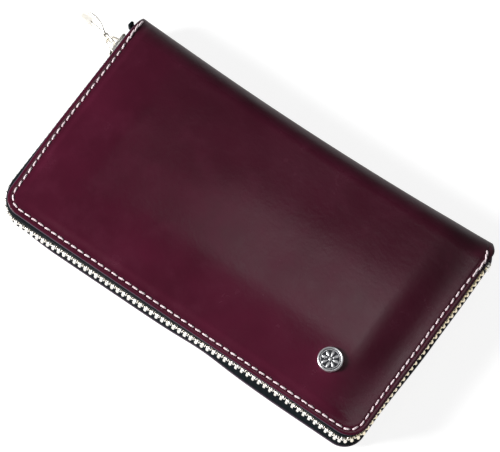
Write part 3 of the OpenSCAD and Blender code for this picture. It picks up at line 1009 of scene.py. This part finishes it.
def slider_plates(long, wide, deep, plate_t, place):
    """Two shield plates with turned-in lips, and the neck between them."""
    whole = bmesh.new()
    outline = shield(long, wide * 0.8, wide)
    for end in (-1, 1):
        part = plate(outline, plate_t, plate_t * 0.36)
        for vert in part.verts:
            if vert.co.z > 0:
                vert.co.z -= 0.2 * (vert.co.y / wide) ** 2
        if end < 0:
            bmesh.ops.scale(part, vec=(1, 1, -1), verts=part.verts)
            bmesh.ops.reverse_faces(part, faces=part.faces[:])
        put(part, Matrix.Translation((0, 0, end * (deep - plate_t / 2))))
        add_copies(whole, mesh_of(part), [place])
        for hand in (-1, 1):
            lip = bar((long * 1.5, wide * 0.16, plate_t * 1.2), plate_t * 0.3, 3)
            for vert in lip.verts:
                vert.co.y += -hand * wide * 0.1 * smooth((-vert.co.x - long * 0.1) / long)
            spot = Matrix.Translation((0, hand * wide * 0.9, end * (deep - plate_t * 1.2)))
            add_copies(whole, mesh_of(put(lip, spot)), [place])
    neck = bar((long * 0.3, 0.5, deep * 2 - plate_t), 0.15, 2)
    add_copies(whole, mesh_of(put(neck, Matrix.Translation((long * 0.8, 0, 0)))), [place])
    return whole


def slider_arch(deep, rise, wire_r, half_w, half_span):
    """The arch on the outer plate that the pull hangs from."""
    turns = [math.pi * i / 14 for i in range(15)]
    points = [Vector((math.cos(a) * (half_span - wire_r), 0,
                      deep - 0.2 + (rise - wire_r + 0.2) * math.sin(a) ** 0.55)) for a in turns]
    strap = tube(points, wire_r, 10)
    bmesh.ops.scale(strap, vec=(1, half_w / wire_r, 1), verts=strap.verts)
    return strap


def slider(name, nodes, body, box, plate_t, along, out, arch):
    """A zip slider that parts the chain towards along, with its arch towards out."""
    low, high = box
    size = high - low
    long, wide, deep = abs(along.dot(size)) / 2, size.z / 2, abs(out.dot(size)) / 2
    turn = Matrix((along, UP, out)).transposed().to_4x4()
    if turn.determinant() < 0:
        turn = Matrix((along, -UP, out)).transposed().to_4x4()
    place = Matrix.Translation((low + high) / 2 * MM) @ turn @ Matrix.Scale(MM, 4)
    plates = slider_plates(long, wide, deep, plate_t, place)
    stand_in(f"{name}_plates", plates, (NICKEL,), (nodes[0],), body)
    strap = put(slider_arch(deep, *arch), place)
    stand_in(f"{name}_arch", strap, (NICKEL,), (nodes[1],), body)


def pull_frame(place):
    """The matrix of a part of the pull: x along the pull, y across it, z square to both."""
    return frame_at(place, PULL_WAY, PULL_WAY.cross(UP))


def pull_link():
    """The wire loop between the slider and the tab."""
    r = 1.3
    corners = [(LINK_L - r, LINK_HALF_W - r, 0), (r, LINK_HALF_W - r, 90),
               (r, r - LINK_HALF_W, 180), (LINK_L - r, r - LINK_HALF_W, 270)]
    points = []
    for cx, cy, start in corners:
        points += [Vector((x, y, 0)) for x, y in arc_points(cx, cy, r, start, start + 90, 6)]
    bm = put(tube(points, WIRE_R, 10, closed=True), pull_frame(HINGE))
    stand_in("link_wire", bm, (NICKEL,), ("pull_link",), "zip_pull_link")


def pull_tab():
    """The leaf of the pull: a rolled eye, a waist, a long oval hole and a bowed, twisted blade."""
    half = [(0.6, 1.5), (2.0, 1.35), (4.5, 1.9), (8, 2.8), (11.5, 3.15), (14, 2.9), (15.7, 1.9), (16.3, 0.7)]
    outline = half + [(x, -y) for x, y in reversed(half)]
    smooth_line = []
    for (x, y), (nx, ny) in zip(outline, outline[1:] + outline[:1]):
        smooth_line.append((x * 0.75 + nx * 0.25, y * 0.75 + ny * 0.25))
        smooth_line.append((x * 0.25 + nx * 0.75, y * 0.25 + ny * 0.75))
    hole = arc_points(5.2, 0, 0.75, 90, 270, 8) + arc_points(9.4, 0, 1.05, -90, 90, 8)
    bm = plate(smooth_line, 1.0, 0.3, [hole])
    long_edges = [e for e in bm.edges if abs(e.verts[0].co.x - e.verts[1].co.x) > 1.4]
    bmesh.ops.subdivide_edges(bm, edges=long_edges, cuts=3)
    for vert in bm.verts:
        t = vert.co.x / TAB_L
        twist = PULL_TWIST * smooth(t / 0.4)
        y, z = vert.co.y, vert.co.z
        vert.co.y = y * math.cos(twist) - z * math.sin(twist)
        vert.co.z = y * math.sin(twist) + z * math.cos(twist) + TAB_BOW * math.sin(math.pi * min(1, t))
    whole = bmesh.new()
    place = pull_frame(HINGE + PULL_WAY * LINK_L)
    add_copies(whole, mesh_of(bm), [place])
    eye_line = [(0.62, -2.15), (1.1, -2.15), (1.2, -2.0), (1.2, 2.0), (1.1, 2.15), (0.62, 2.15)]
    eye = lathe(eye_line, 20, ring=True)
    bmesh.ops.rotate(eye, cent=(0, 0, 0), matrix=Matrix.Rotation(math.pi / 2, 3, "X"), verts=eye.verts)
    add_copies(whole, mesh_of(eye), [place])
    stand_in("tab_blade", whole, (NICKEL,), ("pull_tab",), "zip_pull_tab")


# ---------- the badge ----------

BADGE_SEAT = 22.3


def rosette(r, field_z, at):
    """Eight petals, a button in their middle and a thin ring round them."""
    relief = bmesh.new()
    for i in range(8):
        petal = bmesh.new()
        bmesh.ops.create_uvsphere(petal, u_segments=16, v_segments=10, radius=1)
        for vert in petal.verts:
            x = vert.co.x
            vert.co = Vector((x * 1.42, vert.co.y * (0.62 + 0.26 * x), vert.co.z * 0.34))
        turn = Matrix.Rotation(math.radians(45 * i + 11), 4, "Z")
        add_copies(relief, mesh_of(petal), [at @ turn @ Matrix.Translation((2.45, 0, field_z + 0.1))])
    button = bmesh.new()
    bmesh.ops.create_uvsphere(button, u_segments=16, v_segments=10, radius=0.85)
    bmesh.ops.scale(button, vec=(1, 1, 0.45), verts=button.verts)
    add_copies(relief, mesh_of(button), [at @ Matrix.Translation((0, 0, field_z + 0.1))])
    ring = lathe([(r - 1.5, field_z), (r - 1.5, field_z + 0.22), (r - 1.36, field_z + 0.28),
                  (r - 1.22, field_z + 0.22), (r - 1.22, field_z)], 72, ring=True)
    add_copies(relief, mesh_of(ring), [at])
    return relief


def badge():
    """A round badge with a raised rim, a dark field and a plain eight-petalled rosette."""
    low, high = box_mm("badge_disc")
    middle, r = (low + high) / 2, (high.x - low.x) / 2
    top = high.z - 0.02
    field_z = top - 0.55
    at = at_mm(Vector((middle.x, middle.y, 0)))
    rim = [(0, BADGE_SEAT), (r * 0.86, BADGE_SEAT), (r - 0.1, BADGE_SEAT + 0.9), (r, BADGE_SEAT + 1.3),
           (r, top - 0.42), (r - 0.1, top - 0.16), (r - 0.34, top), (r - 0.62, top - 0.03),
           (r - 0.82, top - 0.2), (r - 0.9, field_z), (0, field_z)]
    inlay = [(0, field_z - 0.3), (r - 0.92, field_z - 0.3), (r - 0.92, field_z + 0.05), (0, field_z + 0.05)]
    stand_in("badge_rim", put(lathe(rim, 72), at), (BADGE,), ("badge_disc",), "front_cover")
    stand_in("badge_field", put(lathe(inlay, 72), at), (OXIDE,), (), "front_cover")
    stand_in("badge_rosette", rosette(r, field_z, at), (BADGE,), (), "front_cover")


# ---------- linings, card panels and pockets ----------


def lining(side):
    """The lining of a cover and of its half of the spine, in one piece of cloth."""
    low, high = box_mm("front_lining")
    height, depth = (low.z + high.z) / 2 - MID_Z, SPINE_R - LEATHER_T - 0.3
    flat = (2 * high.x * MM, (SPINE_Y + LINING_BEND - low.y) * MM)
    square = 2 / 2.4

    def shape(u, v):
        x, y = laid_flat(u, v, HALF_L - high.x + 0.3, SPINE_Y + LINING_BEND)
        turned = min(max(0.0, (y - SPINE_Y) / LINING_BEND), 1.0) * math.pi / 2
        dx, dy = settle(x, y, turned, side)
        z = height * max(0.0, math.cos(turned)) ** square
        y = min(y, SPINE_Y) + depth * math.sin(turned) ** square
        return Vector((x + dx * 0.9, y + dy, MID_Z + side * z))

    bm = grid(120, 110, shape, flat)
    face_way(bm, outwards)
    for face in bm.faces:
        face.normal_flip()
    thicken(bm, LINING_T)
    nodes = ("front_lining", "spine_lining") if side == FRONT else ("back_lining",)
    obj = stand_in(f"{SIDE[side]}_lining_cloth", bm, (LINING,), nodes)
    bend_between(obj, side)


def card_swell(x, y):
    """How the cards in the pockets push up the layers above them."""
    column = smooth((abs(x) - 2.5) / 6) * smooth((82 - abs(x)) / 5)
    return 0.28 * column * smooth((y + 40) / 14) * smooth((40 - y) / 5) - 0.1 * bell(x, 0, 1.3)


def layer(node, body, side, material, swell=lambda x, y: 0.0, rows=24, far_y=None):
    """A thin leather or cloth layer filling its node's box, with rounded corners and edges."""
    low, high = box_mm(node)
    if far_y is not None:
        high.y = min(high.y, far_y)
    half_l, thickness = high.x, high.z - low.z
    face_z = low.z if side == FRONT else high.z

    def shape(u, v):
        y = (low.y + high.y) / 2 + (high.y - low.y) / 2 * eased(v)
        x, y = round_corner(half_l * eased(u), y, half_l, low.y, LAYER_CORNER_R)
        crease = 0.1 * bell(y, low.y + 2.0, 0.35)
        return Vector((x, y, face_z - side * (swell(x, y) - crease)))

    bm = grid(60, rows, shape, (2 * half_l * MM, (high.y - low.y) * MM))
    face_way(bm, lambda p: UP * -side)
    is_leather = material is INNER
    thicken(bm, thickness * 0.98, rim_material=1 if is_leather else 0)
    round_rims(bm, thickness * 0.3, segments=2)
    stand_in(f"{node}_soft", bm, (INNER, EDGE) if is_leather else (material,), (node,), body)


def inner_stitches(side):
    """Tone-on-tone stitching down the card panel and across under each pocket's mouth."""
    mouths = [box_mm(f"back_card_pocket_{k}")[0].y for k in POCKETS]
    panel = box_mm("back_card_panel")[1].z

    def top(x, y):
        level = panel + POCKET_STEP * sum(1 for mouth in mouths if y > mouth)
        return Vector((x, y, MID_Z + side * (MID_Z - level - card_swell(x, y))))

    matrices = [frame_at(top(x, SEAM_LOW_Y + i * FINE_PITCH), Vector((0, 1, 0)), UP * -side)
                for x in (-SEAM_X, 0.0, SEAM_X) for i in range(28)]
    matrices += [frame_at(top(-82.5 + i * FINE_PITCH, mouth + 3.4), Vector((1, 0, 0)), UP * -side)
                 for mouth in mouths for i in range(56)]
    bm = bmesh.new()
    add_copies(bm, stitch_mesh(*FINE_STITCH), matrices)
    stand_in(f"{SIDE[side]}_inner_thread", bm, (DARK,), (), COVER[side])


def card_side(side):
    """The card panel of one cover, its four pockets and their seams."""
    name = SIDE[side]
    layer(f"{name}_card_panel", COVER[side], side, INNER, card_swell)
    for k in POCKETS:
        layer(f"{name}_card_pocket_{k}", COVER[side], side, INNER, card_swell)
    inner_stitches(side)


# ---------- the coin pocket ----------

COIN_FAR_Y = 50.9
COIN_PITCH = 2.0
COIN_HALF = 74
COIN_CHAIN_Y = -33.2
COIN_TAPE_W = 7.5
COIN_SEAM_X = 78
COIN_HINGE = Vector((-70, -35.7, MID_Z))


def coin_pocket():
    """The zipped coin pocket that stands on the spine, between the covers."""
    for side in (FRONT, BACK):
        wall, cloth_side = f"coin_pocket_{SIDE[side]}_wall", f"coin_pocket_{SIDE[side]}_lining"
        layer(wall, "spine", -side, INNER, rows=30, far_y=COIN_FAR_Y)
        layer(cloth_side, "spine", side, LINING, rows=20, far_y=COIN_FAR_Y)
        coin_tape(side)
        coin_teeth(side)
    for hand in ("left", "right"):
        coin_gusset(hand)
    coin_bottom()
    coin_stops()
    coin_thread()


def coin_gusset(hand):
    """The side of the coin pocket, a strip of leather pressed into a shallow valley."""
    low, high = box_mm(f"coin_pocket_{hand}_gusset")
    size = high - low
    inwards = 1 if hand == "left" else -1
    bm = bar(size, 0.25, 2)
    tall_edges = [e for e in bm.edges if abs(e.verts[0].co.z - e.verts[1].co.z) > 2]
    bmesh.ops.subdivide_edges(bm, edges=tall_edges, cuts=5)
    for vert in bm.verts:
        vert.co.x += inwards * 0.5 * (1 - (2 * vert.co.z / size.z) ** 2)
    put(bm, at_mm((low + high) / 2))
    nodes = (f"coin_pocket_{hand}_gusset",)
    stand_in(f"coin_gusset_{hand}", bm, (INNER,), nodes, "spine")


def coin_bottom():
    """The strip that binds the far edge of the coin pocket."""
    low, high = box_mm("coin_pocket_bottom")
    bm = bar(Vector((high.x - low.x - 0.2, 1.3, high.z - low.z)), 0.5, 4)
    put(bm, at_mm(Vector((0, COIN_FAR_Y - 0.3, MID_Z))))
    stand_in("coin_bottom_binding", bm, (INNER,), ("coin_pocket_bottom",), "spine")


def coin_tape(side):
    """A narrow tape: flat on the pocket's wall, then turned up to carry its row of teeth."""
    _, high = box_mm("coin_zip_front_tape")
    flat_z = high.z - MID_Z - 0.15
    profile = [(-27.0, flat_z), (-30.5, flat_z), (-32.2, flat_z - 0.03), (-32.9, flat_z - 0.25),
               (-33.15, flat_z - 0.7), (COIN_CHAIN_Y, flat_z - 1.15)]
    rows = len(profile) - 1

    def shape(u, v):
        y, z = profile[round((v + 1) / 2 * rows)]
        return Vector((high.x * u, y, MID_Z + side * z))

    bm = grid(60, rows, shape, (2 * high.x * MM, COIN_TAPE_W * MM))
    face_way(bm, lambda p: Vector((0, -1, side)))
    thicken(bm, 0.26)
    nodes = (f"coin_zip_{SIDE[side]}_tape",)
    stand_in(f"coin_{SIDE[side]}_tape_cloth", bm, (TAPE,), nodes, "spine")


def coin_teeth(side):
    """One row of the coin zip. The front row starts half a pitch along."""
    tooth = tooth_mesh(1.7, 0.85, 1.75, -0.42)
    count = COIN_HALF + 1 if side == BACK else COIN_HALF
    start = -COIN_HALF if side == BACK else -COIN_HALF + COIN_PITCH / 2
    matrices = []
    for i in range(count):
        place = Vector((start + COIN_PITCH * i, COIN_CHAIN_Y, MID_Z))
        matrices.append(tooth_frame(place, Vector((0, -1, 0)), Vector((1, 0, 0)), side))
    bm = bmesh.new()
    add_copies(bm, tooth, matrices)
    bmesh.ops.recalc_face_normals(bm, faces=bm.faces)
    nodes = (f"coin_zip_{SIDE[side]}_teeth",)
    stand_in(f"coin_{SIDE[side]}_teeth", bm, (SATIN,), nodes, "spine")


def coin_stops():
    """The clamps at both ends of the coin zip."""
    low, high = box_mm("coin_zip_stops")
    width = 1.8
    clamp = mesh_of(bar(Vector((width, high.y - low.y, high.z - low.z)), 0.35, 3))
    y = (low.y + high.y) / 2
    bm = bmesh.new()
    add_copies(bm, clamp, [at_mm(Vector((end * (high.x - width / 2), y, MID_Z))) for end in (-1, 1)])
    stand_in("coin_stop_clamps", bm, (SATIN,), ("coin_zip_stops",), "spine")


def coin_thread():
    """The seams that hold the coin zip in its leather walls and close the pocket's ends."""
    low, high = box_mm("coin_pocket_front_wall")
    face = high.z - MID_Z
    matrices = []
    for side in (FRONT, BACK):
        for i in range(52):
            place = Vector((-COIN_SEAM_X - 0.5 + i * 3.08, low.y + 2.0, MID_Z + side * (face - 0.1)))
            matrices.append(frame_at(place, Vector((1, 0, 0)), UP * side))
        for x in (-COIN_SEAM_X, COIN_SEAM_X):
            for i in range(26):
                place = Vector((x, low.y + 4.5 + i * FINE_PITCH, MID_Z + side * face))
                matrices.append(frame_at(place, Vector((0, 1, 0)), UP * side))
    bm = bmesh.new()
    add_copies(bm, stitch_mesh(*FINE_STITCH), matrices)
    stand_in("coin_seam_thread", bm, (DARK,), (), "spine")


def coin_pull():
    """The small flat pull of the coin zip, turned on a pin under the arch."""
    half = [(-0.35, 0.9), (0.6, 0.85), (2.4, 1.0), (4.5, 1.6), (9.0, 1.7), (10.8, 1.45), (11.5, 0.6)]
    outline = half + [(x, -y) for x, y in reversed(half)]
    blade = plate(outline, 0.78, 0.22, [arc_points(9.0, 0, 0.75, 0, 345, 14)])
    put(blade, frame_at(COIN_HINGE, Vector((1, 0, 0)), Vector((0, -1, 0))))
    stand_in("coin_pull_blade", blade, (NICKEL,), ("coin_pull_tab",), "coin_pull")


def hidden_parts():
    """Boards and washer stay as they are in the frame, under everything else."""
    for name, material in (("front_board", BOARD), ("back_board", BOARD), ("badge_washer", SATIN)):
        obj = bpy.data.objects[name]
        obj.data.materials.clear()
        obj.data.materials.append(material)


# ---------- camera, floor and light ----------

CAMERA_TURN = math.radians(34.97)
CAMERA_RISE = math.radians(70.39)
CAMERA_DISTANCE = 1.044
CAMERA_TARGET = Vector((0.00035, 0.0022, 0.01183))
SENSOR = 36.0
LENS = 172.224


def camera():
    """A long lens that looks down on the wallet, from the right of its front."""
    back = Vector((math.sin(CAMERA_TURN) * math.cos(CAMERA_RISE),
                   -math.cos(CAMERA_TURN) * math.cos(CAMERA_RISE), math.sin(CAMERA_RISE)))
    right = Vector((math.cos(CAMERA_TURN), math.sin(CAMERA_TURN), 0))
    data = bpy.data.cameras.new("camera")
    data.sensor_width = SENSOR
    data.lens = LENS
    data.clip_end = 20
    obj = bpy.data.objects.new("camera", data)
    turn = Matrix((right, back.cross(right), back)).transposed().to_4x4()
    obj.matrix_world = Matrix.Translation(CAMERA_TARGET + back * CAMERA_DISTANCE) @ turn
    scene.collection.objects.link(obj)
    scene.camera = obj


def area_light(name, place, size, power, aim):
    """A soft rectangular light that looks at aim."""
    data = bpy.data.lights.new(name, "AREA")
    data.shape = "RECTANGLE"
    data.size, data.size_y = size
    data.energy = power
    obj = bpy.data.objects.new(name, data)
    obj.location = place
    obj.rotation_euler = (Vector(aim) - Vector(place)).to_track_quat("-Z", "Y").to_euler()
    scene.collection.objects.link(obj)


def studio():
    """The floor, a faint even sky, a bright light from the front left, and two that the leather mirrors."""
    bm = bmesh.new()
    bmesh.ops.create_grid(bm, x_segments=2, y_segments=2, size=3)
    piece("floor", bm, floor_finish())
    world = bpy.data.worlds.new("studio")
    scene.world = world
    world.use_nodes = True
    sky = world.node_tree.nodes["Background"]
    sky.inputs["Color"].default_value = (0.95, 0.97, 1, 1)
    sky.inputs["Strength"].default_value = 0.13
    area_light("key", (-1.1, -1.0, 0.8), (0.5, 0.5), 56, (0, 0, 0))
    area_light("panel", (0.06, 0.325, 1.3), (0.78, 0.27), 0.76, (0.06, 0.325, 0))
    area_light("spot", (0.0, 0.32, 1.29), (0.4, 0.22), 0.45, (0.0, 0.32, 0))
    scene.view_settings.view_transform = "Standard"


camera()
studio()
for side in (FRONT, BACK):
    cover(side)
    padding(side)
    stitching(side)
    zip_tape(side)
    tape_end(side)
    zip_teeth(side, 0 if side == BACK else 4.5 * TOOTH_PITCH)
    stop(f"{SIDE[side]}_top_stop", COVER[side], 0.4)
    lining(side)
    card_side(side)
stop("zip_bottom_stop", "back_cover", 0.5)
slider("main_slider", ("slider_body", "slider_bridge"), "zip_slider", (slider_low, slider_high), 1.1,
       Vector((0, 1, 0)), Vector((-1, 0, 0)), (5.15, 0.48, 1.05, 3.4))
pull_link()
pull_tab()
badge()
coin_pocket()
slider("coin_slider", ("coin_slider_body", "coin_slider_bridge"), "coin_slider",
       box_mm("coin_slider_body"), 0.7, Vector((-1, 0, 0)), Vector((0, -1, 0)), (3.9, 0.35, 0.7, 2.4))
coin_pull()
hidden_parts()
